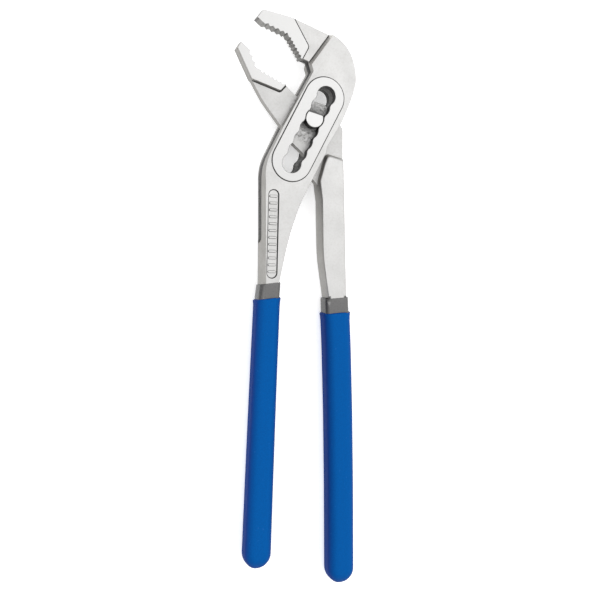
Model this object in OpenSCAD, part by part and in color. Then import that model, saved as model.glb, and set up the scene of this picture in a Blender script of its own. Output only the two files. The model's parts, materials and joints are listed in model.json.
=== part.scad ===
// Tongue and groove pliers with a box joint, lying on their rear face.
// Origin: the pivot pin's axis, in the plane that the pliers rest on.
// +Y points to the jaws, +X to the inner arm's side, +Z up through the thickness.
// The slotted arm carries the upper jaw, and the inner arm passes through its mortise.

/* [Thicknesses] */
// Thickness over the two raised rims of the adjusting slot
joint_t = 12; // [12:0.1:12.6]
// Height of each rim over the face of the slotted arm
rim_h = 0.4; // [0.2:0.1:0.6]
// Height of the mortise through the slotted arm
mortise_t = 4.3; // [4.1:0.1:4.6]
// Thickness of the tongue that lies in the mortise
tongue_t = 4; // [3.6:0.1:4]
// Thickness of the inner arm's shank at its shoulder
shank_t = 10.4; // [10:0.1:10.8]
// Thickness over the ground jaw faces
pad_t = 6.4; // [6:0.1:6.6]
// Height of each ground jaw face over the forged jaw
pad_h = 0.2; // [0.1:0.05:0.3]

/* [Adjusting slot] */
// Number of pin seats
seats = 7; // [5:1:7]
// Number of seats above the pin
seats_above = 2; // [0:1:2]
// Distance between two seats
seat_pitch = 5.6; // [5.2:0.1:5.6]
// Lean of the slot from the length of the pliers
slot_lean = 28; // [27:0.5:29]
// Width of the slot between two seats
crest_w = 7.4; // [7:0.1:7.8]
// Radius of the raised rim round the slot
rim_r = 8.9; // [8.2:0.1:9]
// How much nearer each end of the rim is to the middle than the last seat
rim_short = 1; // [0:0.1:1.5]
// Shift of the rim towards the slotted arm's outer side
rim_shift = 0.3; // [0:0.1:0.4]

/* [Pivot pin] */
// Radius of the pin
pin_r = 4; // [3.8:0.05:4]
// Distance from the pin's axis to the flat on its ends
pin_flat = 2.2; // [1.8:0.1:2.6]
// Radial gap between the pin and a seat
seat_gap = 0.3; // [0.25:0.05:0.4]
// Radial gap between the pin and its bore in the tongue
bore_gap = 0.05; // [0.02:0.01:0.08]
// Chamfer on the pin's ends
pin_chamfer = 0.3; // [0.1:0.1:0.4]

/* [Teeth] */
// Depth of the coarse teeth
coarse_d = 0.8; // [0.4:0.1:0.9]
// Depth of the fine teeth
fine_d = 0.7; // [0.4:0.1:0.8]
// Number of coarse teeth on the upper jaw
coarse_n = 4; // [3:1:5]
// Number of fine teeth on each jaw
fine_n = 6; // [4:1:7]

/* [Handles] */
// Width of the bare handle bar
core_w = 8.4; // [8:0.1:8.6]
// Thickness of the bare handle bar
core_t = 9.6; // [9.2:0.1:9.8]
// Width over the first coat
first_w = 9.4; // [9.2:0.1:9.8]
// Thickness over the first coat
first_t = 10.4; // [10.2:0.1:10.8]
// Width over the thick outer grip
grip_w = 11.6; // [10.8:0.1:11.8]
// Thickness over the thick outer grip
grip_t = 12; // [11.6:0.1:12]
// Length of first coat that shows above the grip
band_l = 6.5; // [4:0.5:9]

/* [Raised panel] */
// Width of the recessed panel on the slotted arm's shank
panel_w = 5; // [4:0.1:5]
// Depth of the recessed panel
panel_d = 0.5; // [0.3:0.1:0.6]
// Number of cross ribs in the panel
rib_n = 12; // [6:1:14]

/* [Hidden] */
$fn = 48;

mid_z = joint_t / 2;
body_t = joint_t - 2 * rim_h;
jaw_t = pad_t - 2 * pad_h;
seat_r = pin_r + seat_gap;
slot_dir = [sin(slot_lean), cos(slot_lean)];
slot_top = seats_above * seat_pitch * slot_dir;
slot_bottom = (seats_above - seats + 1) * seat_pitch * slot_dir;
sag = 0.02;
over = 1;

// Round cornered outlines: each point is [x, y, corner radius].
function unit(v) = v / norm(v);
function arc(centre, r, from, turn, n) =
    [for (i = [0:n]) centre + r * [cos(from + turn * i / n), sin(from + turn * i / n)]];
function corner(a, b, c, r) =
    let (u = unit(a - b),
         v = unit(c - b),
         half = acos(u * v) / 2,
         centre = b + unit(u + v) * r / sin(half),
         p = b + u * r / tan(half) - centre,
         q = b + v * r / tan(half) - centre,
         from = atan2(p.y, p.x),
         turn = (atan2(q.y, q.x) - from + 540) % 360 - 180,
         step = 2 * acos(1 - sag / r))
    arc(centre, r, from, turn, max(2, ceil(abs(turn) / step)));
function flat(p) = [p.x, p.y];
function rounded(pts) =
    let (n = len(pts))
    [for (i = [0:n - 1])
        let (b = pts[i])
        each b[2] == 0 ? [flat(b)]
            : corner(flat(pts[(i + n - 1) % n]), flat(b), flat(pts[(i + 1) % n]), b[2])];

// A row of n teeth from p to q, cut to the left of the way from p to q, tip first.
function teeth(p, q, n, depth) =
    let (step = (q - p) / n,
         side = depth * unit([-step.y, step.x]))
    [for (i = [0:n - 1]) each [p + i * step, p + (i + 0.5) * step + side]];
function sharp(pts) = [for (p = pts) [p.x, p.y, 0]];

// Upper jaw: the tip's flat, a coarse row, a fine row up to the throat.
upper_tip = [-25, 42.5];
upper_coarse = [[-21.7, 39.8], [-12.6, 36.2]];
upper_fine = [[-11, 35], [-5.6, 26.3]];
upper_teeth = concat([upper_tip],
    teeth(upper_coarse[0], upper_coarse[1], coarse_n, coarse_d),
    [upper_coarse[1], [-11.7, 36.7]],
    teeth(upper_fine[0], upper_fine[1], fine_n, fine_d),
    [upper_fine[1]]);
// Lower jaw: the same rows the other way round, from the throat to the tip.
lower_tip = [-33.8, 29];
lower_heel = [-27.3, 15.6];
lower_coarse = [[-25, 20.6], [-28.3, 28.3]];
lower_fine = [[-12.6, 14.6], [-23.6, 20.1]];
lower_teeth = concat(
    teeth(lower_fine[0], lower_fine[1], fine_n, fine_d),
    [lower_fine[1]],
    teeth(lower_coarse[0], lower_coarse[1], coarse_n - 1, coarse_d),
    [lower_coarse[1], [-32.2, 31.7]]);

// The step from the thin jaw up to the thick head runs between these two points.
step_top = [7.2, 37.4];
step_foot = [-2, 25];
step_run = 1.3;
throat = [0.2, 20.6];

// Top of the first coat, bend and end of each handle's centre line.
slotted_path = bend([-19.85, -72], [-22.5, -126], [-25.1, -191.5], 4);
inner_path = bend([11.1, -78.3], [13.4, -120], [13.4, -201.3], 4);

// Outlines
head_back = concat(bend(step_top, [18.6, 33.1], [19.4, 18.5], 12),
                   bend([19.4, 18.5], [19.6, 13.5], [12.6, -1.2], 8), [[5.8, -12.4]]);
module head_and_shank() {
    polygon(rounded(concat([[step_foot.x, step_foot.y, 0]], sharp(head_back), [
        [5.6, -14.4, 0], [-6.6, -37.5, 60], [-11.7, -52.4, 80], [-15.9, -71.9, 0],
        [-24.3, -72.2, 0], [-23.7, -22, 24],
        [-13.85, -3.2, 60], [throat.x - 0.75, throat.y, 1.2]])));
}
module upper_jaw() {
    polygon(concat(upper_teeth,
        [[-4.4, 25.9], step_foot, step_foot + step_run * [1, -0.7],
         step_top + step_run * [1, -0.7], step_top, [-8.7, 43.4], [-22.3, 46.1]]));
}
module upper_pad() {
    polygon(concat(upper_teeth,
        rounded([[-4.9, 25.8, 0], [-1.8, 31.4, 1.8], [-8.7, 43.4, 0], [-22.3, 46.1, 0]])));
}
module tongue() {
    polygon(concat(lower_teeth, rounded([
        [lower_tip.x, lower_tip.y, 0], [lower_heel.x, lower_heel.y, 0], [-22.4, 7, 20],
        [-14, -3.8, 40], [-9.5, -10.2, 6], [-3, -16, 8],
        [-1.2, -24.6, 6], [2.6, -28.6, 0], [14.4, -28.6, 0], [14.4, -3.5, 3],
        [7, 6.5, 7], [-7.8, 10.2, 3], [-11.9, 14.1, 0]])));
}
module lower_pad() {
    polygon(concat(lower_teeth, rounded([
        [lower_tip.x, lower_tip.y, 0], [lower_heel.x, lower_heel.y, 0],
        [-14.6, 11.2, 1.2], [-11.9, 14.1, 0]])));
}
module inner_shank() {
    polygon(rounded([
        [6.1, -14.4, 1.8], [14.1, -16.55, 0], [15.05, -42.5, 60], [15.6, -78.1, 0],
        [6.5, -78.4, 0], [3.9, -60, 80], [3.5, -35.4, 12], [2.4, -27, 4]]));
}
// The raised rim follows the slot at an even distance.
module rim_area() {
    side = rim_shift * [-slot_dir.y, slot_dir.x];
    polygon(concat(arc(slot_top - rim_short * slot_dir + side, rim_r, -slot_lean, 180, 30),
                   arc(slot_bottom + rim_short * slot_dir + side, rim_r, 180 - slot_lean, 180, 30)));
}
module slot_area() {
    for (i = [0:seats - 1]) translate(slot_top - i * seat_pitch * slot_dir) circle(seat_r);
    translate(slot_bottom) rotate(-slot_lean) translate([-crest_w / 2, 0])
        square([crest_w, norm(slot_top - slot_bottom)]);
}

// A slab of thickness t about the middle plane.
module slab(t) {
    translate([0, 0, mid_z - t / 2]) linear_extrude(t) children();
}
module both_faces() {
    children();
    translate([0, 0, 2 * mid_z]) mirror([0, 0, 1]) children();
}

// Wedge that slopes the head's face down along the step, to a low square lip over the jaw's face.
module step_wedge() {
    lip = 0.1;
    rise = (body_t - jaw_t) / 2 - lip;
    along = step_foot - step_top;
    translate([step_top.x, step_top.y, mid_z + jaw_t / 2 + lip])
        rotate([90, 0, atan2(along.x, -along.y)])
            translate([0, 0, -3 * over])
                linear_extrude(norm(along) + 6 * over)
                    polygon([[-2 * over, 0], [0, 0], [2 * step_run, 2 * rise], [-2 * over, 2 * rise]]);
}

// Plane that thins a shank from its full thickness at y = from to core_t at y = to.
module shank_taper(t, from, to) {
    fall = (t - core_t) / 2;
    length = from - to;
    translate([-40, from, mid_z + t / 2]) rotate([atan(fall / length), 0, 0])
        translate([0, -2 * length, 0]) cube([80, 2 * length, 10]);
}

// The mortise is open on both edges of the slotted arm and has a round lower end.
mortise_foot = -52;
module mortise() {
    slab(mortise_t) polygon([[-40, mortise_foot], [30, mortise_foot], [30, 25.2],
        [8, 25.2], [3, 23.9], [throat.x - 2.2, throat.y], [-40, throat.y]]);
    translate([-40, mortise_foot, mid_z]) rotate([0, 90, 0]) cylinder(h = 50, r = mortise_t / 2);
}

// Recessed panel with round ends, on the front of the slotted arm's shank.
panel_top = [-18.6, -33.6];
panel_foot = [-19.4, -67.4];
panel_lean = atan2(panel_foot.x - panel_top.x, panel_top.y - panel_foot.y);
panel_l = norm(panel_top - panel_foot);
panel_slope = atan((body_t - core_t) / 2 / 42);
module on_panel() {
    translate([panel_top.x, panel_top.y, mid_z + body_t / 2 - 0.1])
        rotate([panel_slope, 0, -panel_lean]) children();
}
module panel_recess() {
    on_panel() translate([0, 0, -panel_d]) {
        cylinder(h = 3, r = panel_w / 2);
        translate([-panel_w / 2, -panel_l, 0]) cube([panel_w, panel_l, 3]);
        translate([0, -panel_l, 0]) cylinder(h = 3, r = panel_w / 2);
    }
}
module panel_ribs() {
    rib_l = panel_w - 1.4;
    gap = (panel_l - 1) / (rib_n - 1);
    for (i = [0:rib_n - 1])
        on_panel() translate([-rib_l / 2, -0.5 - i * gap - 0.5, -panel_d - 0.2])
            cube([rib_l, 1, 0.2 + panel_d * 0.6]);
}

// Rounded rectangle, round corner by round corner, across and through a handle.
function section(w, t, r) =
    [for (k = [0:3], i = [0:5])
        let (a = 90 * k + 18 * i)
        [(k == 0 || k == 3 ? 1 : -1) * (w / 2 - r) + r * cos(a),
         (k < 2 ? 1 : -1) * (t / 2 - r) + r * sin(a)]];
// Stations of a bar down a centre line, [place, direction, inset of the section]:
// the line's own points, then a quarter circle of radius tail_r that rounds the end.
function stations(path, tail_r) =
    let (n = len(path),
         last = unit(path[n - 1] - path[n - 2]))
    concat(
        [for (i = [0:n - 2]) [path[i], unit(path[min(i + 1, n - 1)] - path[max(i - 1, 0)]), 0]],
        [for (a = [0:15:90]) [path[n - 1] + tail_r * sin(a) * last, last, tail_r * (1 - cos(a))]]);
// A rounded bar down a centre line, flat at the top and domed at the end.
module bar(path, w, t, r, tail_r) {
    rows = stations(path, tail_r);
    m = len(section(w, t, r));
    points = [for (row = rows)
        let (across = [-row[1].y, row[1].x])
        each [for (q = section(w - 2 * row[2], t - 2 * row[2], max(r - row[2], 0.3)))
            [row[0].x + q.x * across.x, row[0].y + q.x * across.y, mid_z + q.y]]];
    sides = [for (j = [0:len(rows) - 2], i = [0:m - 1])
        let (p = j * m + i, q = j * m + (i + 1) % m)
        each [[p, q + m, q], [p, p + m, q + m]]];
    foot = (len(rows) - 1) * m;
    ends = [[for (i = [0:m - 1]) i], [for (i = [m - 1:-1:0]) foot + i]];
    polyhedron(points, concat(ends, sides));
}
// A handle's centre line as a few points on a curve through a bend.
function bend(a, b, c, n) =
    [for (i = [0:n]) let (k = i / n) (1 - k) * (1 - k) * a + 2 * k * (1 - k) * b + k * k * c];
// The part of a line that starts d further down its first stretch.
function lowered(path, d) =
    concat([path[0] + d * unit(path[1] - path[0])], [for (i = [1:len(path) - 1]) path[i]]);
module core(path) { bar(lowered(path, -2), core_w, core_t, 1.2, 4); }
module first_coat(path) { bar(path, first_w, first_t, 1.7, 4.5); }
module grip(path) { bar(lowered(path, band_l), grip_w, grip_t, 3.6, 5); }

// Sub-parts
module slotted_arm() {
    color("gainsboro") {
        difference() {
            union() {
                slab(body_t) head_and_shank();
                slab(jaw_t) upper_jaw();
                slab(pad_t) upper_pad();
                slab(joint_t) rim_area();
            }
            both_faces() step_wedge();
            both_faces() shank_taper(body_t, -30, -72);
            slab(joint_t + 2 * over) slot_area();
            mortise();
            panel_recess();
        }
        core(slotted_path);
        panel_ribs();
    }
}
module inner_arm() {
    color("lightgray") {
        difference() {
            union() {
                slab(tongue_t) tongue();
                slab(pad_t) lower_pad();
                slab(shank_t) inner_shank();
            }
            both_faces() shank_taper(shank_t, -34, -78.3);
            translate([0, 0, mid_z - joint_t]) cylinder(h = 2 * joint_t, r = pin_r + bore_gap);
        }
        core(inner_path);
    }
}
module pivot_pin() {
    color("white") difference() {
        translate([0, 0, 0.1]) {
            cylinder(h = pin_chamfer, r1 = pin_r - pin_chamfer, r2 = pin_r);
            translate([0, 0, pin_chamfer]) cylinder(h = joint_t - 0.2 - 2 * pin_chamfer, r = pin_r);
            translate([0, 0, joint_t - 0.2 - pin_chamfer])
                cylinder(h = pin_chamfer, r1 = pin_r, r2 = pin_r - pin_chamfer);
        }
        both_faces() rotate(-15) translate([-5, pin_flat, mid_z + tongue_t / 2]) cube([10, 5, joint_t]);
    }
}
module slotted_arm_first_coat() {
    color("dimgray") difference() {
        first_coat(slotted_path);
        core(slotted_path);
    }
}
module slotted_arm_grip() {
    color("royalblue") difference() {
        grip(slotted_path);
        first_coat(slotted_path);
    }
}
module inner_arm_first_coat() {
    color("dimgray") difference() {
        first_coat(inner_path);
        core(inner_path);
    }
}
module inner_arm_grip() {
    color("royalblue") difference() {
        grip(inner_path);
        first_coat(inner_path);
    }
}

slotted_arm();
inner_arm();
pivot_pin();
slotted_arm_first_coat();
slotted_arm_grip();
inner_arm_first_coat();
inner_arm_grip();
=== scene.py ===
"""Tongue and groove pliers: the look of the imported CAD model, built from its own sections."""

import json
import math

import bmesh
import bpy
import numpy as np
from mathutils import Matrix, Vector


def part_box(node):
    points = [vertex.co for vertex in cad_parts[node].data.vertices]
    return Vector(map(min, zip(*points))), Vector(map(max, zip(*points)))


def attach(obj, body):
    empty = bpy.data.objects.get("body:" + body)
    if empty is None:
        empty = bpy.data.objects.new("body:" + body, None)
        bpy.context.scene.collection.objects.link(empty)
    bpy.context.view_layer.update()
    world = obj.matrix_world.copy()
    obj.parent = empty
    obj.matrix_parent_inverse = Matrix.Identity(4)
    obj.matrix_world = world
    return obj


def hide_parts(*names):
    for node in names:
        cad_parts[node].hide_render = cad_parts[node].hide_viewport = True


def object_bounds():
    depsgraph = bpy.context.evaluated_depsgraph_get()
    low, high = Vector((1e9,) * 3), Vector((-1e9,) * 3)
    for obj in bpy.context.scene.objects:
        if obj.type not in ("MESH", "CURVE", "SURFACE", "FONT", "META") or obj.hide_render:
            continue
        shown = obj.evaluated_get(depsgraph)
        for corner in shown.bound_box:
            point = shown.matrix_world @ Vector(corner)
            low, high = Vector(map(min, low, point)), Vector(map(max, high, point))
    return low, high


MM = 0.001
X, Y, Z = 0, 1, 2

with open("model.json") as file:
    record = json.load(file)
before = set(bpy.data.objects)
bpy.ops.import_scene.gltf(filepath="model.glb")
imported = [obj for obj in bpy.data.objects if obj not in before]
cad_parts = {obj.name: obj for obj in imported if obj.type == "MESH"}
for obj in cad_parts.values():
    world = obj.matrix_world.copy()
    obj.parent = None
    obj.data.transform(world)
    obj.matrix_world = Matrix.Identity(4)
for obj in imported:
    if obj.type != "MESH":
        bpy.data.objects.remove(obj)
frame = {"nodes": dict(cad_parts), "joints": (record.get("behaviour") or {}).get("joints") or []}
bpy.context.view_layer.update()
cad_low, cad_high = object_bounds()
MID = (cad_low.z + cad_high.z) / 2


# ---------------------------------------------------------------- sections of the CAD nodes
def section(node, axis, value):
    """The closed loops where a CAD node crosses the plane axis = value, as arrays of the
    other two coordinates."""
    bm = bmesh.new()
    bm.from_mesh(frame["nodes"][node].data)
    bmesh.ops.remove_doubles(bm, verts=bm.verts, dist=1e-6)
    keep = [k for k in range(3) if k != axis]
    after = {}
    for face in bm.faces:
        ends = []
        for edge in face.edges:
            p, q = (v.co[axis] - value for v in edge.verts)
            if (p > 0) != (q > 0):
                v, w = edge.verts
                spot = v.co + (w.co - v.co) * (p / (p - q))
                ends.append((edge.index, [spot[k] for k in keep]))
        if len(ends) == 2:
            for here, there in (ends, ends[::-1]):
                after.setdefault(here[0], []).append(there)
    bm.free()
    loops, used = [], set()
    for start in after:
        if start in used:
            continue
        loop, here = [], start
        while here is not None:
            used.add(here)
            onward = [n for n in after[here] if n[0] not in used]
            here = onward[0][0] if onward else None
            loop += [n[1] for n in onward[:1]]
        if len(loop) > 2:
            first = [n[1] for k in after.values() for n in k if n[0] == start][:1]
            loops.append(tidy_loop(np.array(first + loop)))
    return [loop for loop in loops if len(loop) > 2]


def area(loop):
    x, y = loop[:, 0], loop[:, 1]
    return 0.5 * float(np.sum(x * np.roll(y, -1) - np.roll(x, -1) * y))


def tidy_loop(loop, flat=2e-6):
    """Drops repeated points and points on a straight stretch, and turns the loop counterclockwise."""
    points = [p for i, p in enumerate(loop) if np.linalg.norm(p - loop[i - 1]) > 2e-6]
    out = []
    for i, p in enumerate(points):
        a, b = points[i - 1], points[(i + 1) % len(points)]
        cross = (p[0] - a[0]) * (b[1] - a[1]) - (p[1] - a[1]) * (b[0] - a[0])
        if abs(cross) / max(np.linalg.norm(b - a), 1e-9) > flat:
            out.append(p)
    out = np.array(out)
    return out[::-1] if len(out) > 2 and area(out) < 0 else out


def clip(loop, point, normal):
    """The part of a loop on the side of a line that its normal points to."""
    side = (loop - np.array(point)) @ np.array(normal)
    out = []
    for i in range(len(loop)):
        a, b, sa, sb = loop[i - 1], loop[i], side[i - 1], side[i]
        if (sa < 0) != (sb < 0):
            out.append(a + (b - a) * sa / (sa - sb))
        if sb >= 0:
            out.append(b)
    return np.array(out)


def inside(loop, point):
    odd = False
    for a, b in zip(loop, np.roll(loop, -1, axis=0)):
        if (a[1] > point[1]) != (b[1] > point[1]):
            odd ^= bool(point[0] < a[0] + (point[1] - a[1]) * (b[0] - a[0]) / (b[1] - a[1]))
    return odd


def holding(loops, point):
    """The smallest loop that goes round a point."""
    return min((loop for loop in loops if inside(loop, point)), key=lambda l: abs(area(l)))


def inset(loop, dist):
    """A counterclockwise loop with each edge moved inwards by its own distance."""
    n = len(loop)
    edge = np.roll(loop, -1, axis=0) - loop
    length = np.linalg.norm(edge, axis=1, keepdims=True)
    left = np.stack([-edge[:, 1], edge[:, 0]], axis=1) / length
    d = np.broadcast_to(np.asarray(dist, float), (n,))
    out = np.empty_like(loop)
    for i in range(n):
        n1, n2, d1, d2 = left[i - 1], left[i], d[i - 1], d[i]
        det = n1[0] * n2[1] - n1[1] * n2[0]
        if abs(det) < 0.02:
            out[i] = loop[i] + (n1 + n2) / 2 * (d1 + d2) / 2
        else:
            out[i] = loop[i] + np.array([d1 * n2[1] - d2 * n1[1], d2 * n1[0] - d1 * n2[0]]) / det
    return out


# ---------------------------------------------------------------- solids
def new_object(name, bm):
    mesh = bpy.data.meshes.new(name)
    bmesh.ops.recalc_face_normals(bm, faces=bm.faces[:])
    bm.to_mesh(mesh)
    bm.free()
    obj = bpy.data.objects.new(name, mesh)
    bpy.context.scene.collection.objects.link(obj)
    return obj


def plate(name, loop, levels):
    """A solid on a loop: levels are (inset or insets per edge, z), from the lowest up."""
    bm = bmesh.new()
    rings = [[bm.verts.new((p[0], p[1], z)) for p in inset(loop, d)] for d, z in levels]
    for low, high in zip(rings, rings[1:]):
        for i in range(len(loop)):
            bm.faces.new((low[i - 1], low[i], high[i], high[i - 1]))
    bm.faces.new(rings[0][::-1])
    bm.faces.new(rings[-1])
    return new_object(name, bm)


def both_sides(levels):
    """Levels given from the middle plane up, (inset, height over it), mirrored below it."""
    low = [(d, MID - h) for d, h in reversed(levels) if h > 0]
    return low + [(d, MID + h) for d, h in levels]


def rounding(start, top, radius, steps=4):
    """Levels of a rounded edge: (inset, height) from the side at inset start to the face at height top."""
    turns = [math.pi / 2 * k / steps for k in range(steps + 1)]
    return [(start + radius * (1 - math.cos(a)), top - radius * (1 - math.sin(a))) for a in turns]


def block(name, low, high):
    bm = bmesh.new()
    bmesh.ops.create_cube(bm, size=1)
    for v in bm.verts:
        v.co = Vector([low[k] if v.co[k] < 0 else high[k] for k in range(3)])
    return new_object(name, bm)


def combine(obj, other, operation):
    """Adds or cuts another solid, which is used up."""
    mod = obj.modifiers.new("combine", "BOOLEAN")
    mod.operation = operation
    mod.object = other
    mod.solver = "MANIFOLD"
    apply_modifiers(obj)
    bpy.data.objects.remove(other)
    return obj


def apply_modifiers(obj):
    bpy.context.view_layer.update()
    depsgraph = bpy.context.evaluated_depsgraph_get()
    mesh = bpy.data.meshes.new_from_object(obj.evaluated_get(depsgraph))
    obj.modifiers.clear()
    old = obj.data
    obj.data = mesh
    bpy.data.meshes.remove(old)


def map_points(obj, move):
    for v in obj.data.vertices:
        v.co = move(v.co)


def split_at(obj, axis, value):
    """Adds an edge loop where the solid crosses the plane axis = value."""
    bm = bmesh.new()
    bm.from_mesh(obj.data)
    normal = Vector((0, 0, 0))
    normal[axis] = 1
    bmesh.ops.bisect_plane(bm, geom=bm.verts[:] + bm.edges[:] + bm.faces[:], plane_co=normal * value,
                           plane_no=normal)
    bm.to_mesh(obj.data)
    bm.free()


def shade(obj, angle=32):
    """Smooth shading with creases kept."""
    bm = bmesh.new()
    bm.from_mesh(obj.data)
    bmesh.ops.remove_doubles(bm, verts=bm.verts, dist=2e-6)
    bmesh.ops.dissolve_degenerate(bm, edges=bm.edges[:], dist=2e-6)
    for f in bm.faces:
        f.smooth = True
    bm.to_mesh(obj.data)
    bm.free()
    obj.data.set_sharp_from_angle(angle=math.radians(angle))


def facing(loop, direction):
    """How much each edge of a counterclockwise loop faces a direction, 0 to 1."""
    edge = np.roll(loop, -1, axis=0) - loop
    out = np.stack([edge[:, 1], -edge[:, 0]], axis=1) / np.linalg.norm(edge, axis=1, keepdims=True)
    return np.clip(out @ np.array(direction), 0, 1)


def middles(loop):
    return (loop + np.roll(loop, -1, axis=0)) / 2


def clearance(point, loop):
    """Distance from a point to the nearest edge of a loop."""
    a, b = loop, np.roll(loop, -1, axis=0)
    along = b - a
    t = np.clip(np.sum((point - a) * along, axis=1) / np.maximum(np.sum(along * along, axis=1), 1e-18), 0, 1)
    return float(np.min(np.linalg.norm(a + along * t[:, None] - point, axis=1)))


def inner_edges(loop, outline):
    """1 for each edge of a loop that runs inside an outline, 0 for each that lies on it."""
    return np.array([float(inside(outline, m) and clearance(m, outline) > 0.12 * MM) for m in middles(loop)])


def pocket(obj, loop, wide, bottom, top):
    """Cuts a flat pocket, wider than the loop by a distance or by one per edge, into both faces."""
    for side in (1, -1):
        levels = sorted(((-wide, MID + side * bottom), (-wide, MID + side * top)), key=lambda l: l[1])
        combine(obj, plate("pocket", loop, levels), "DIFFERENCE")


def raise_face(obj, outline, loop, levels, face, top):
    """Adds a raised face with a thin crevice round its inner border."""
    border = inner_edges(loop, outline)
    pocket(obj, loop, crevice_w * border, face - crevice_d, top + 1 * MM)
    levels = both_sides([(d + slope * border, h) for d, slope, h in levels])
    combine(obj, plate("raised", loop, levels), "UNION")


crevice_w, crevice_d = 0.38 * MM, 0.26 * MM


# ---------------------------------------------------------------- the slotted arm
def tapered(from_y, to_y, face, end):
    """Thins a shank evenly from height face over the middle plane at from_y to height end at to_y."""
    def move(co):
        k = min(max((from_y - co.y) / (from_y - to_y), 0), 1)
        s = 1 + (end / face - 1) * k
        return Vector((co.x, co.y, MID + (co.z - MID) * s))
    return move


node_box = {n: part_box(n) for n in frame["nodes"]}
coat_top = {side: node_box[side + "_first_coat"][1].y for side in ("slotted_arm", "inner_arm")}
head_face = 5.6 * MM      # height of the head's faces over the middle plane
jaw_face = 3.0 * MM
pad_face = 3.2 * MM
rim_face = cad_high.z - MID
tongue_face = 2.0 * MM
shank_face = 5.2 * MM
bar_face = 4.8 * MM
step_run = 1.0 * MM
rib_n = 12
panel_d = 0.55 * MM
panel_top, panel_foot = np.array([-18.5, -33.7]) * MM, np.array([-19.2, -67.3]) * MM
panel_r = 2.35 * MM
spot_r = 6.7 * MM         # spot face round the pin on the tongue
spot_d = 0.12 * MM
slotted_taper_y = -30 * MM    # where each shank starts to thin towards its handle
inner_taper_y = -34 * MM
side_slope_front, side_slope_back = 0.36, 0.27    # inset of the shank's outer side per height


def pill(top, foot, radius, steps=16):
    """A loop with two round ends, counterclockwise, as the panel in the slotted arm's shank."""
    top, foot = np.array(top), np.array(foot)
    lean = math.atan2(top[1] - foot[1], top[0] - foot[0])
    turns = [lean - math.pi / 2 + math.pi * k / steps for k in range(steps + 1)]
    ends = [top + radius * np.array([math.cos(t), math.sin(t)]) for t in turns]
    return np.array(ends + [foot - radius * np.array([math.cos(t), math.sin(t)]) for t in turns])


def add_panel(arm):
    """The recessed panel on the front of the shank, with plain cross ribs."""
    top, foot = panel_top, panel_foot
    floor = head_face - panel_d
    levels = [(0, MID + floor), (0, MID + head_face - 0.15 * MM), (-0.15 * MM, MID + head_face),
              (-1.15 * MM, MID + head_face + 1 * MM)]
    combine(arm, plate("panel", pill(top, foot, panel_r), levels), "DIFFERENCE")
    low = floor - crevice_d
    levels = [(0, MID + low), (0, MID + floor + 0.1 * MM)]
    combine(arm, plate("groove", pill(top, foot, panel_r), levels), "DIFFERENCE")
    levels = [(0, MID + low - 0.2 * MM), (0, MID + floor)]
    combine(arm, plate("field", pill(top, foot, panel_r - 0.75 * crevice_w), levels), "UNION")
    down = (foot - top) / np.linalg.norm(foot - top)
    across = np.array([-down[1], down[0]])
    gap = (np.linalg.norm(foot - top) - 1 * MM) / (rib_n - 1)
    for i in range(rib_n):
        middle = top + down * (0.5 * MM + i * gap)
        bar = pill(middle + across * 1.3 * MM, middle - across * 1.3 * MM, 0.55 * MM, 6)
        levels = [(-0.05 * MM, MID + floor - 0.3 * MM), (0.03 * MM, MID + floor + 0.3 * MM),
                  (0.15 * MM, MID + floor + 0.4 * MM)]
        combine(arm, plate("rib", bar, levels), "UNION")


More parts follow.
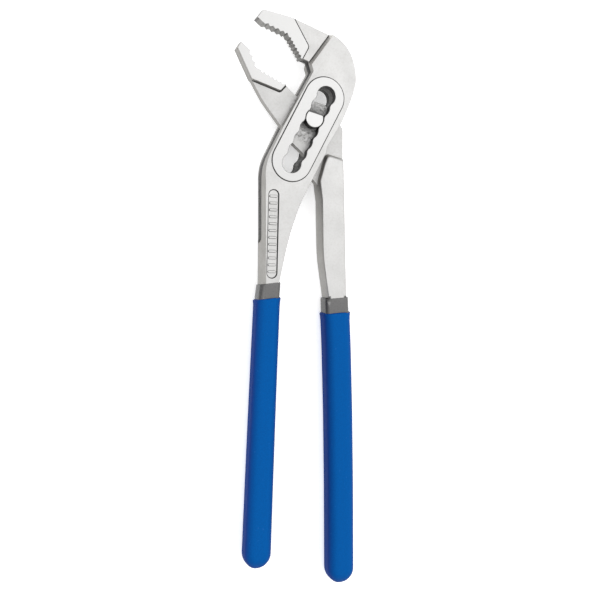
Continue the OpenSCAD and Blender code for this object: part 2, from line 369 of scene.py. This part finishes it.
def build_slotted_arm():
    node = "slotted_arm"
    loops = section(node, Z, MID + 4.3 * MM)
    head = max(loops, key=lambda l: abs(area(l)))
    outline = tidy_loop(clip(head, (0, coat_top[node] - 4 * MM), (0, 1)))
    # the step down to the jaw: the longest straight edge of the head's upper part
    length = np.linalg.norm(np.roll(outline, -1, axis=0) - outline, axis=1)
    step = max((i for i, m in enumerate(middles(outline)) if m[1] > 25 * MM), key=lambda i: length[i])
    levels = []
    rows = [(0, 0), (0, 2.2 * MM), (0, jaw_face), (0, 4.8 * MM)] + rounding(0, head_face, 0.22 * MM, 3)
    for side in (-1, 1):
        for d, h in (rows[:0:-1] if side < 0 else rows):
            each = np.full(len(outline), 0.01 * h + d)
            each[step] = max(0.0, (h - jaw_face) / (head_face - jaw_face)) * step_run
            levels.append((each, MID + side * h))
    arm = plate("slotted_arm_steel", outline, levels)
    # the shank's outer side slopes in towards the faces, less at the back
    outer = facing(outline, (-1, 0))
    down = np.clip((-14 * MM - outline[:, 1]) / (17 * MM), 0, 1)
    down += 0.22 * np.clip((-31 * MM - outline[:, 1]) / (41 * MM), 0, 1)
    outer = np.maximum(outer, np.roll(outer, 1)) ** 0.5 * down
    for i, v in enumerate(arm.data.vertices):
        rise = v.co.z - MID
        v.co.x += outer[i % len(outline)] * (side_slope_front if rise > 0 else side_slope_back) * abs(rise)
    add_panel(arm)
    split_at(arm, Y, slotted_taper_y)
    map_points(arm, tapered(slotted_taper_y, coat_top[node], head_face, bar_face))
    # jaw
    a, b = outline[step], outline[(step + 1) % len(outline)]
    along = (b - a) / np.linalg.norm(b - a)
    out = np.array([along[1], -along[0]])
    jaw_loops = section(node, Z, MID + 2.5 * MM)
    jaw = tidy_loop(clip(max(jaw_loops, key=lambda l: abs(area(l))), a - out * 2.5 * MM, out))
    levels = [(0, 0), (0.05 * MM, 2.4 * MM)] + rounding(0.08 * MM, jaw_face, 0.2 * MM, 3)
    combine(arm, plate("jaw", jaw, both_sides(levels)), "UNION")
    foot = np.array([a - along * 1 * MM, b + along * 1 * MM, b + along * 1 * MM + out * crevice_w,
                     a - along * 1 * MM + out * crevice_w])
    pocket(arm, foot if area(foot) > 0 else foot[::-1], np.zeros(4),
           jaw_face - crevice_d, jaw_face + 0.05 * MM)
    pad = holding(section(node, Z, MID + 3.1 * MM), (-12 * MM, 40 * MM))
    levels = [(0.03 * MM, 0, 0), (0.03 * MM, 0, 3.08 * MM)]
    levels += [(d, 0, h) for d, h in rounding(0.03 * MM, pad_face, 0.1 * MM, 2)]
    raise_face(arm, jaw, pad, levels, jaw_face, pad_face)
    # raised rim of the slot
    rim = max(section(node, Z, MID + 5.8 * MM), key=lambda l: abs(area(l)))
    levels = [(0, 0, 0), (0, 0, rim_face - 0.15 * MM)]
    levels += [(d, 0, h) for d, h in rounding(0, rim_face, 0.15 * MM, 3)]
    raise_face(arm, outline, rim, levels, head_face, rim_face)
    # the slot: its walls open a little at both faces
    slot = min(section(node, Z, MID + 5.8 * MM), key=lambda l: abs(area(l)))
    levels = [(0, 0), (0, rim_face - 0.15 * MM), (-0.3 * MM, rim_face + 0.15 * MM)]
    combine(arm, plate("slot", slot, both_sides(levels)), "DIFFERENCE")
    # mortise
    gap = 2.15 * MM
    foot = -52 * MM
    bm = bmesh.new()
    profile = [(26 * MM, gap), (26 * MM, -gap)]
    profile += [(foot - gap * math.sin(t), -gap * math.cos(t)) for t in np.linspace(0, math.pi, 13)]
    ends = [[bm.verts.new((x, y, MID + z)) for y, z in profile] for x in (-40 * MM, 30 * MM)]
    for i in range(len(profile)):
        bm.faces.new((ends[0][i - 1], ends[0][i], ends[1][i], ends[1][i - 1]))
    bm.faces.new(ends[0])
    bm.faces.new(ends[1][::-1])
    combine(arm, new_object("mortise", bm), "DIFFERENCE")
    return arm


# ---------------------------------------------------------------- the inner arm
def build_inner_arm():
    node = "inner_arm"
    bar_top = coat_top[node]
    whole = max(section(node, Z, MID + 1.5 * MM), key=lambda l: abs(area(l)))
    tongue = tidy_loop(clip(whole, (0, -30 * MM), (0, 1)))
    spot = middles(tongue)
    hidden = np.where((spot[:, 1] < -17.6 * MM) & (spot[:, 0] > 3 * MM), 0.6 * MM, 0.0)
    levels = [(hidden, 0), (hidden, tongue_face - 0.25 * MM), (hidden + 0.08 * MM, tongue_face - 0.08 * MM),
              (hidden + 0.25 * MM, tongue_face)]
    arm = plate("inner_arm_steel", tongue, both_sides(levels))
    pad = holding(section(node, Z, MID + 3.1 * MM), (-26 * MM, 20 * MM))
    levels = [(0.02 * MM, 0, 0), (0.02 * MM, 0, tongue_face), (0.04 * MM, 0.45 * MM, 3.05 * MM)]
    levels += [(d, 0.45 * MM, h) for d, h in rounding(0.04 * MM, pad_face, 0.12 * MM, 2)]
    raise_face(arm, tongue, pad, levels, tongue_face, pad_face)
    around = np.array([[math.cos(t), math.sin(t)] for t in np.linspace(0, 2 * math.pi, 73)[:-1]])
    pocket(arm, around * spot_r, np.zeros(len(around)), tongue_face - spot_d, tongue_face + 1 * MM)
    shank = tidy_loop(clip(max(section(node, Z, MID + 4.5 * MM), key=lambda l: abs(area(l))),
                           (0, bar_top - 4 * MM), (0, 1)))
    shoulder = facing(shank, (0, 1)) * (middles(shank)[:, 1] > -20 * MM)
    levels = []
    for d, h in [(0, 0), (0.10 * MM, 2.6 * MM)] + rounding(0.35 * MM, shank_face, 0.8 * MM, 5):
        slope = max(0.0, (h - tongue_face) / (shank_face - tongue_face)) * 1.1 * MM
        levels.append((d + shoulder * slope, h))
    part = plate("shank", shank, both_sides(levels))
    split_at(part, Y, inner_taper_y)
    map_points(part, tapered(inner_taper_y, bar_top, shank_face, bar_face))
    combine(arm, part, "UNION")
    bore = min(section(node, Z, MID), key=lambda l: abs(area(l)))
    combine(arm, plate("bore", bore, [(0, MID - 3 * MM), (0, MID + 3 * MM)]), "DIFFERENCE")
    return arm


def build_pin():
    node = "pivot_pin"
    low, high = node_box[node]
    half = (high.z - low.z) / 2
    flat = section(node, Z, MID + 5 * MM)[0]
    levels = [(0, 0)] + rounding(0, half, 0.3 * MM, 3)
    pin = plate("pivot_pin_steel", flat, both_sides(levels))
    full = section(node, Z, MID)[0]
    combine(pin, plate("round", full, [(0, MID - 1.95 * MM), (0, MID + 1.95 * MM)]), "UNION")
    return pin


# ---------------------------------------------------------------- the dipped coats
def rounded_box(w, t, r, steps=10):
    """Points round a rounded rectangle of half width w and half height t."""
    out = []
    for k in range(4):
        cx, cy = ((1, 1), (-1, 1), (-1, -1), (1, -1))[k]
        for i in range(steps + 1):
            a = math.pi / 2 * (k + i / steps)
            out.append((cx * (w - r) + r * math.cos(a), cy * (t - r) + r * math.sin(a)))
    return out


def coat(name, node, corner, lip, lean, tail, swell):
    """A dip coat on a handle, from its lip down to its rounded end, following the CAD solid's own sections.
    lip is a list of (way down, inset, widening), lean tilts the lip across and through the handle, tail
    is the length of the rounded end, and swell widens the coat at its top and end and shifts its top."""
    low, high = node_box[node]
    top, end = high.y, low.y
    sections = []
    for y in np.linspace(top - 1.2 * MM, end + 5.5 * MM, 9):
        loop = max(section(node, Y, y), key=lambda l: abs(area(l)))
        (x0, z0), (x1, z1) = loop.min(0), loop.max(0)
        sections.append((y, (x0 + x1) / 2, (x1 - x0) / 2, (z1 - z0) / 2))
    known = np.array(sections)[::-1]
    slope = (known[0][1] - known[1][1]) / (known[0][0] - known[1][0])
    rows = [(top - down, d, wide, max(0.0, 1 - down / (5 * MM)), 1.0) for down, d, wide in lip]
    rows += [(y, 0.0, 0.0, 0.0, 1.0) for y in np.linspace(top - lip[-1][0], end + tail, 26)[1:]]
    for a in np.linspace(0, math.pi / 2, 12)[1:]:
        rows.append((end + tail * (1 - math.sin(a)), 0.0, 0.0, 0.0, max(math.cos(a) ** 1.12, 0.04)))
    bm = bmesh.new()
    rings = []
    for y, d, wide, tilt, part in rows:
        cx, w, t = (float(np.interp(y, known[:, 0], known[:, k])) for k in (1, 2, 3))
        if y < known[0][0]:
            cx = known[0][1] + slope * (y - known[0][0])
        w += float(np.interp(y, (end, top), (swell[1], swell[0])))
        cx += swell[2] * max(0.0, 1 - (top - y) / (8 * MM))
        w, t = (w - d + wide) * part, (t - d) * part
        r = min(corner * part, w * 0.98, t * 0.98)
        rings.append([bm.verts.new((cx + px, y + tilt * (lean[0] * px + lean[1] * pz), MID + pz))
                      for px, pz in rounded_box(w, t, r)])
    for upper, lower in zip(rings, rings[1:]):
        for i in range(len(upper)):
            bm.faces.new((upper[i - 1], upper[i], lower[i], lower[i - 1]))
    bm.faces.new(rings[0])
    bm.faces.new(rings[-1][::-1])
    obj = new_object(name, bm)
    for f in obj.data.polygons:
        f.use_smooth = True
    return obj


# ---------------------------------------------------------------- materials
class Nodes:
    """Short calls for building a material's node tree."""

    def __init__(self, name):
        self.material = bpy.data.materials.new(name)
        self.material.use_nodes = True
        self.tree = self.material.node_tree
        self.shader = self.tree.nodes["Principled BSDF"]
        self.coords = self.add("ShaderNodeTexCoord")
        self.place = self.coords.outputs["Object"]

    def add(self, kind, **values):
        node = self.tree.nodes.new(kind)
        for key, value in values.items():
            if key in node.inputs:
                self.set(node.inputs[key], value)
            else:
                setattr(node, key, value)
        return node

    def set(self, socket, value):
        if isinstance(value, bpy.types.NodeSocket):
            self.tree.links.new(value, socket)
        else:
            socket.default_value = value

    def noise(self, scale, detail=2.0, rough=0.5, at=None):
        return self.add("ShaderNodeTexNoise", Vector=at or self.place, Scale=scale, Detail=detail,
                        Roughness=rough).outputs["Fac"]

    def stretched(self, turn, scale):
        """Coordinates turned and stretched, so that a noise turns into lines."""
        return self.add("ShaderNodeMapping", Vector=self.place, Rotation=turn, Scale=scale).outputs["Vector"]

    def ramp(self, fac, *stops):
        node = self.add("ShaderNodeValToRGB", Fac=fac)
        ramp = node.color_ramp
        while len(ramp.elements) < len(stops):
            ramp.elements.new(0.5)
        for element, (at, colour) in zip(ramp.elements, stops):
            element.position = at
            element.color = colour if len(colour) == 4 else (*colour, 1)
        return node.outputs["Color"]

    def spread(self, fac, low, high, frm=0.3, to=0.7):
        node = self.add("ShaderNodeMapRange", Value=fac)
        for key, value in (("From Min", frm), ("From Max", to), ("To Min", low), ("To Max", high)):
            node.inputs[key].default_value = value
        return node.outputs["Result"]

    def bump(self, height, strength, distance, under=None):
        node = self.add("ShaderNodeBump", Height=height, Strength=strength, Distance=distance)
        if under:
            self.set(node.inputs["Normal"], under)
        return node.outputs["Normal"]

    def finish(self, **values):
        for key, value in values.items():
            self.set(self.shader.inputs[key.replace("_", " ")], value)
        return self.material


def grey(level, warm=0.0):
    """A linear grey, a little warmer for warm over 0."""
    return level * (1 + warm), level, level * (1 - 2 * warm)


def shade_steep_sides(m, face, steep_shade, steep=0.35, flat=0.95):
    """Painted shade: the face colour on flat faces, going over to the darker colour given for steep sides,
    standing in for the dim light that reaches them.
    """
    normal = m.add("ShaderNodeSeparateXYZ", Vector=m.coords.outputs["Normal"]).outputs["Z"]
    level = m.add("ShaderNodeMath", operation="ABSOLUTE", Value=normal).outputs["Value"]
    mix = m.add("ShaderNodeMix", data_type="RGBA")
    m.set(mix.inputs["Factor"], m.spread(level, 0, 1, steep, flat))
    m.set(mix.inputs["A"], steep_shade)
    m.set(mix.inputs["B"], face)
    return mix.outputs["Result"]


def blasted(name, face, steep_shade, contrast, rough, grain):
    """Blasted and plated steel: finely mottled, with its steep sides darkened as painted shade."""
    m = Nodes(name)
    mottle, fine, broad = m.noise(grain, 3, 0.6), m.noise(grain * 3, 2, 0.5), m.noise(120, 2, 0.5)
    light, dark = grey(face, 0.006), grey(face * (1 - contrast), 0.01)
    # darker colours for the steep sides: painted shade
    side, deep = grey(steep_shade, 0.02), grey(steep_shade * (1 - contrast * 1.5), 0.03)
    colour = shade_steep_sides(m, m.ramp(mottle, (0.30, dark), (0.58, light)),
                       m.ramp(mottle, (0.30, deep), (0.62, side)))
    bump = m.bump(mottle, 0.35, 0.03 * MM, m.bump(fine, 0.3, 0.01 * MM))
    m.finish(Base_Color=colour, Metallic=1.0,
             Roughness=m.spread(broad, rough - 0.05, rough + 0.06), Normal=bump)
    return m


def ground(name, face, steep_shade, contrast, rough, turn, scale=(1, 12, 1)):
    """Ground or cut steel with fine lines in one direction, and its steep sides darkened as painted shade.
    """
    m = Nodes(name)
    lines = m.noise(700, 3, 0.6, m.stretched(turn, scale))
    light, dark = grey(face, 0.004), grey(face * (1 - contrast), 0.006)
    # darker colours for the steep sides: painted shade
    side, deep = grey(steep_shade, 0.02), grey(steep_shade * (1 - contrast * 2), 0.03)
    colour = shade_steep_sides(m, m.ramp(lines, (0.35, dark), (0.6, light)),
                       m.ramp(lines, (0.35, deep), (0.6, side)))
    bump = m.bump(lines, 0.35, 0.01 * MM)
    m.finish(Base_Color=colour, Metallic=1.0,
             Roughness=m.spread(lines, rough - 0.06, rough + 0.06), Normal=bump)
    return m


def rubbed_and_shaded_tongue():
    """Rough steel where the tongue rubs round the pin, with painted shade darkening it towards the pin, as
    blasted steel further out.
    """
    m = blasted("rough_shaded_tongue_steel", 0.545, 0.22, 0.08, 0.55, 1100)
    old = m.shader.inputs["Base Color"].links[0].from_socket
    flat = m.add("ShaderNodeVectorMath", operation="MULTIPLY")
    m.set(flat.inputs[0], m.place)
    flat.inputs[1].default_value = (1, 1, 0)
    length = m.add("ShaderNodeVectorMath", operation="LENGTH")
    m.set(length.inputs[0], flat.outputs["Vector"])
    radius = length.outputs["Value"]
    rubbed = m.ramp(m.noise(900, 4, 0.65), (0.34, grey(0.17, 0.01)), (0.47, grey(0.38, 0.01)),
                    (0.66, grey(0.55)))
    # painted shade: darker towards the pin, with a light line at the spot face's edge
    pin_shade_rings = m.ramp(m.spread(radius, 0, 1, 4 * MM, 14 * MM), (0.0, grey(0.55)), (0.25, grey(0.8)),
                  (0.27, grey(1.15)), (0.31, grey(0.95)), (1.0, grey(1.15)))
    rings = m.add("ShaderNodeMix", data_type="RGBA", blend_type="MULTIPLY", Factor=1.0)
    m.set(rings.inputs["A"], rubbed)
    m.set(rings.inputs["B"], pin_shade_rings)
    mix = m.add("ShaderNodeMix", data_type="RGBA", Factor=m.spread(radius, 0, 1, 10.5 * MM, 12 * MM))
    m.set(mix.inputs["A"], rings.outputs["Result"])
    m.set(mix.inputs["B"], old)
    m.set(m.shader.inputs["Base Color"], mix.outputs["Result"])
    return m.material


# painted shade: each steel's second number is the colour of its steep sides, darker than its faces
steel = blasted("plated_blasted_steel", 0.545, 0.33, 0.07, 0.48, 1100).material
pad_steel = ground("ground_jaw_faces", 0.54, 0.27, 0.05, 0.40, (0, 0, 0.9)).material
rim_steel = ground("ground_rim", 0.525, 0.40, 0.04, 0.38, (0, 0, 0.5)).material
# painted shade: one side of each tooth, darker than the other steel
shaded_teeth = ground("shaded_cut_teeth", 0.42, 0.27, 0.3, 0.45, (0, 0, 0), (1, 1, 0.1)).material
# painted shade: the slot's inner sides and the bore round the pin, near black
slot_wall_shade = ground("shaded_slot_walls", 0.12, 0.05, 0.25, 0.50, (0, 0, 0), (0.3, 0.3, 2)).material
# painted shade: the crevice floors round the raised faces and the panel's groove, near black
crevice_shade = blasted("crevice_shade_steel", 0.09, 0.09, 0.2, 0.7, 1500).material
# painted shade: the mortise's inner faces, darker than the other steel
mortise_shade = blasted("shaded_mortise_walls", 0.40, 0.30, 0.3, 0.6, 1300).material
# painted light: the step's slope, lighter than the other steel and its steep sides
step_slope_light = ground("lit_step_slope", 0.60, 0.60, 0.15, 0.5, (0, 0, 0.9)).material
tongue_wear_and_shade = rubbed_and_shaded_tongue()
pin_steel = ground("pin_ends", 0.535, 0.42, 0.03, 0.34, (0, 0, 2.2)).material
# painted shade: the pin's sides, seen in the gap round it, near black
pin_side_shade = ground("shaded_pin_side", 0.12, 0.04, 0.2, 0.45, (0, 0, 0), (1, 1, 6)).material


def dip(name, face, side, rough, bumps, **gloss):
    """A dipped plastic coat: a little uneven, with its sides darkened as painted shade, and small bubbles.
    """
    m = Nodes(name)
    broad, fine, bubbles = m.noise(70, 2, 0.5), m.noise(1600, 2, 0.5), m.noise(800, 1, 0.4)
    shades = [tuple(c * k for c in colour) for colour in (face, side) for k in (0.93, 1.04)]
    mottle = m.spread(fine, 0.0, 1.0, 0.35, 0.65)
    colour = shade_steep_sides(m, m.ramp(mottle, (0.0, shades[0]), (1.0, shades[1])),
                       m.ramp(mottle, (0.0, shades[2]), (1.0, shades[3])), 0.30, 0.97)
    speck = m.add("ShaderNodeMix", data_type="RGBA", Factor=m.spread(bubbles, 0.0, bumps, 0.72, 0.84))
    m.set(speck.inputs["A"], colour)
    m.set(speck.inputs["B"], tuple(min(1.0, c * 1.3 + 0.03) for c in face) + (1,))
    bump = m.bump(broad, 0.25, 0.3 * MM, m.bump(fine, bumps * 0.4, 0.02 * MM))
    return m.finish(Base_Color=speck.outputs["Result"], Roughness=m.spread(fine, rough - 0.04, rough + 0.06),
                    Normal=bump, **gloss)


# each dip's second colour is for its sides, far darker than its face: painted shade
grey_dip = dip("glossy_grey_dip", (0.128, 0.126, 0.125), (0.014, 0.013, 0.013), 0.30, 0.1,
               Specular_IOR_Level=0.2, Coat_Weight=0.38, Coat_IOR=1.5, Coat_Roughness=0.06)
blue_dip = dip("matt_blue_dip", (0.0, 0.085, 0.325), (0.003, 0.034, 0.200), 0.55, 0.3,
               Specular_IOR_Level=0.04)
lip_dip = dip("first_coat_edge", (0.09, 0.07, 0.06), (0.07, 0.055, 0.05), 0.5, 0.2)


def paint(obj, rules, base):
    """Gives each face the first material whose rule it meets, or the base material."""
    obj.data.materials.clear()
    for material in [base] + [m for _, m in rules]:
        obj.data.materials.append(material)
    for face in obj.data.polygons:
        face.material_index = 0
        for k, (rule, _) in enumerate(rules):
            if rule(face.center, face.normal):
                face.material_index = k + 1
                break


def finish_piece(obj, body, node):
    """Evens out the shading of flat faces, and lets the piece ride on a body in place of its node."""
    mod = obj.modifiers.new("flat faces", "WEIGHTED_NORMAL")
    mod.keep_sharp = True
    mod.weight = 90
    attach(obj, body)
    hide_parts(node)


def height(co):
    return abs(co.z - MID)


slide = next(joint for joint in frame["joints"] if joint["type"] == "slide")


def near(value, target):
    return abs(value - target) < 0.04 * MM


def in_slot(co):
    """Inside the adjusting slot, going by the distance from its centre line."""
    slot = Vector(slide["axis"][:2])
    along = min(max(co.xy.dot(slot), -12 * MM), 23 * MM)
    return (co.xy - slot * along).length < 4.6 * MM


def in_panel(co):
    """Within the recessed panel or its border."""
    return co.z > MID + 4 * MM and inside(pill(panel_top, panel_foot, panel_r + 0.18 * MM), co.xy)


def in_groove(co):
    """On the floor of the groove round the panel, which thins with the shank."""
    k = min(max((slotted_taper_y - co.y) / (slotted_taper_y - coat_top["slotted_arm"]), 0), 1)
    depth = (head_face - panel_d - crevice_d) * (1 + (bar_face / head_face - 1) * k)
    return in_panel(co) and abs(height(co) - depth) < 0.08 * MM


arm = build_slotted_arm()
shade(arm)
paint(arm, [
    (lambda c, n: height(c) > rim_face - 0.14 * MM, rim_steel),
    # the slot's sides: painted shade
    (lambda c, n: abs(n.z) < 0.9 and in_slot(c), slot_wall_shade),
    (lambda c, n: abs(n.z) > 0.9 and near(height(c), pad_face) and c.y > 20 * MM, pad_steel),
    # the mortise's floors: painted shade
    (lambda c, n: height(c) < 2.3 * MM and abs(n.z) > 0.9, mortise_shade),
    # the step's slope: painted light
    (lambda c, n: (0.2 < abs(n.z) < 0.7 and n.y > 0.3 and n.x < -0.3
                   and height(c) > jaw_face and c.y > 24 * MM), step_slope_light),
    # the mortise's round end: painted shade
    (lambda c, n: abs(n.z) < 0.97 and height(c) < 2.3 * MM and -54.5 * MM < c.y < -51.5 * MM, mortise_shade),
    # crevice floors round the pad, at the step's foot and round the rim: painted shade
    (lambda c, n: (near(height(c), jaw_face - crevice_d) and c.y > 20 * MM
                   or near(height(c), head_face - crevice_d) and c.y > -32 * MM), crevice_shade),
    # the panel's groove and its sides: painted shade
    (lambda c, n: in_groove(c) or abs(n.z) < 0.97 and in_panel(c), crevice_shade),
    # teeth sides facing down and left: painted shade
    (lambda c, n: abs(n.z) < 0.5 and c.y > 25.5 * MM and n.y + n.x * 0.8 < 0, shaded_teeth),
], steel)
finish_piece(arm, "slotted_arm", "slotted_arm")

inner = build_inner_arm()
shade(inner)
paint(inner, [
    (lambda c, n: abs(n.z) > 0.9 and near(height(c), pad_face) and c.x < -8 * MM, pad_steel),
    # the crevice round the inner arm's pad: painted shade
    (lambda c, n: near(height(c), tongue_face - crevice_d) and c.x < -8 * MM, crevice_shade),
    # teeth sides facing up and right: painted shade
    (lambda c, n: abs(n.z) < 0.5 and c.y > 14 * MM and n.y + n.x * 0.8 > 0, shaded_teeth),
    # the bore's sides round the pin: painted shade
    (lambda c, n: height(c) < tongue_face + 0.05 * MM and abs(n.z) < 0.5 and c.xy.length < 4.5 * MM,
     slot_wall_shade),
    # the tongue's faces: wear, and painted shade towards the pin
    (lambda c, n: abs(n.z) > 0.9 and near(height(c), tongue_face) or near(height(c), tongue_face - spot_d),
     tongue_wear_and_shade),
], steel)
finish_piece(inner, "inner_arm", "inner_arm")

pin = build_pin()
shade(pin)
pin_face = node_box["pivot_pin"][1].z - MID
# the pin's sides are painted shade
paint(pin, [(lambda c, n: height(c) > pin_face - 0.31 * MM, pin_steel)], pin_side_shade)
finish_piece(pin, "pivot_pin", "pivot_pin")

lean = {"slotted_arm": (0.12, 0.0), "inner_arm": (0.08, -0.07)}
grey_lip = [(0, 0.3, 0), (0.06 * MM, 0.18, 0), (0.25 * MM, 0.1, 0), (0.8 * MM, 0.06, 0), (3 * MM, 0.03, 0),
            (5.5 * MM, 0, 0)]
swells = {"slotted_arm_first_coat": (0, 0, 0.45), "slotted_arm_grip": (-0.5, 0.15, 0),
          "inner_arm_first_coat": (0.75, 0.2, 0), "inner_arm_grip": (0.2, 0.2, 0)}
blue_lip = [(0, 0.7, 0), (0.1 * MM, 0.35, 0.2), (0.35 * MM, 0.1, 0.3), (0.8 * MM, 0, 0.3), (2 * MM, 0, 0.12),
            (4 * MM, 0, 0)]
for side in ("slotted_arm", "inner_arm"):
    for kind, node, corner, lip, tail, slot in (
            ("first_dip", "first_coat", 2.4 * MM, grey_lip, 5 * MM, "grey_coat"),
            ("grip_dip", "grip", 4.0 * MM, blue_lip, 7 * MM, "blue_coat")):
        piece = coat(f"{side}_{kind}", f"{side}_{node}", corner, [(y, d * MM, w * MM) for y, d, w in lip],
                     lean[side], tail, [w * MM for w in swells[f"{side}_{node}"]])
        edge = node_box[f"{side}_{node}"][1].y - 0.4 * MM
        if node == "grip":
            paint(piece, [(lambda c, n: c.y > edge and n.y > 0.8, lip_dip)], blue_dip)
        else:
            paint(piece, [], grey_dip)
        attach(piece, side)
        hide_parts(f"{side}_{node}")


# ---------------------------------------------------------------- camera, light, floor
def place_camera():
    azimuth, elevation, distance = math.radians(17.7), math.radians(1.4), 434.1 * MM
    centre = (cad_low + cad_high) / 2
    aim = Vector((centre.x - 1.9 * MM, centre.y + 3.2 * MM, cad_high.z))
    back = Vector((-math.sin(azimuth) * math.cos(elevation), math.sin(elevation),
                   math.cos(azimuth) * math.cos(elevation)))
    right = Vector((0, 1, 0)).cross(back).normalized()
    up = back.cross(right)
    data = bpy.data.cameras.new("camera")
    data.sensor_width = 36
    data.lens = 61.0
    data.clip_start = 0.01
    camera = bpy.data.objects.new("camera", data)
    turn = Matrix((right, up, back)).transposed().to_4x4()
    camera.matrix_world = Matrix.Translation(aim + back * distance) @ turn
    bpy.context.scene.collection.objects.link(camera)
    bpy.context.scene.camera = camera


def light(name, place, aim, size, energy, colour=(1, 1, 1)):
    data = bpy.data.lights.new(name, "AREA")
    data.shape = "RECTANGLE"
    data.size, data.size_y = size
    data.energy = energy
    data.color = colour
    obj = bpy.data.objects.new(name, data)
    obj.location = place
    obj.rotation_euler = (Vector(aim) - Vector(place)).to_track_quat("-Z", "Y").to_euler()
    bpy.context.scene.collection.objects.link(obj)


place_camera()
centre = (cad_low + cad_high) / 2


def studio():
    """A soft tent of light: bright overhead and to the right, dim low down on the left."""
    world = bpy.data.worlds.new("studio")
    bpy.context.scene.world = world
    world.use_nodes = True
    tree = world.node_tree
    background = tree.nodes["Background"]
    where = tree.nodes.new("ShaderNodeTexCoord").outputs["Generated"]
    dot = tree.nodes.new("ShaderNodeVectorMath")
    dot.operation = "DOT_PRODUCT"
    dot.inputs[1].default_value = Vector((0.45, 0.1, 0.9)).normalized()
    tree.links.new(where, dot.inputs[0])
    ramp = tree.nodes.new("ShaderNodeValToRGB")
    ramp.color_ramp.elements[0].position = 0.0
    ramp.color_ramp.elements[0].color = (0.20, 0.20, 0.21, 1)
    ramp.color_ramp.elements[1].position = 0.75
    ramp.color_ramp.elements[1].color = (1, 1, 1, 1)
    tree.links.new(dot.outputs["Value"], ramp.inputs["Fac"])
    tree.links.new(ramp.outputs["Color"], background.inputs["Color"])
    background.inputs["Strength"].default_value = 1.3


studio()
light("key", centre + Vector((0.45, 0.35, 0.9)), centre, (0.5, 0.5), 0.8)
light("corner strip", centre + Vector((-0.6, 0.0, 0.67)), centre, (0.07, 1.0), 1.9)
bpy.context.scene.view_settings.view_transform = "Standard"

bm = bmesh.new()
bmesh.ops.create_grid(bm, x_segments=1, y_segments=1, size=3)
floor = new_object("floor", bm)
floor.location.z = -0.2 * MM
m = Nodes("pale_floor")
floor.data.materials.append(m.finish(
    Base_Color=m.ramp(m.noise(40), (0.3, (0.90, 0.90, 0.90)), (0.7, (0.93, 0.93, 0.93))), Roughness=0.9,
    Emission_Color=(1, 1, 1, 1), Emission_Strength=0.42))
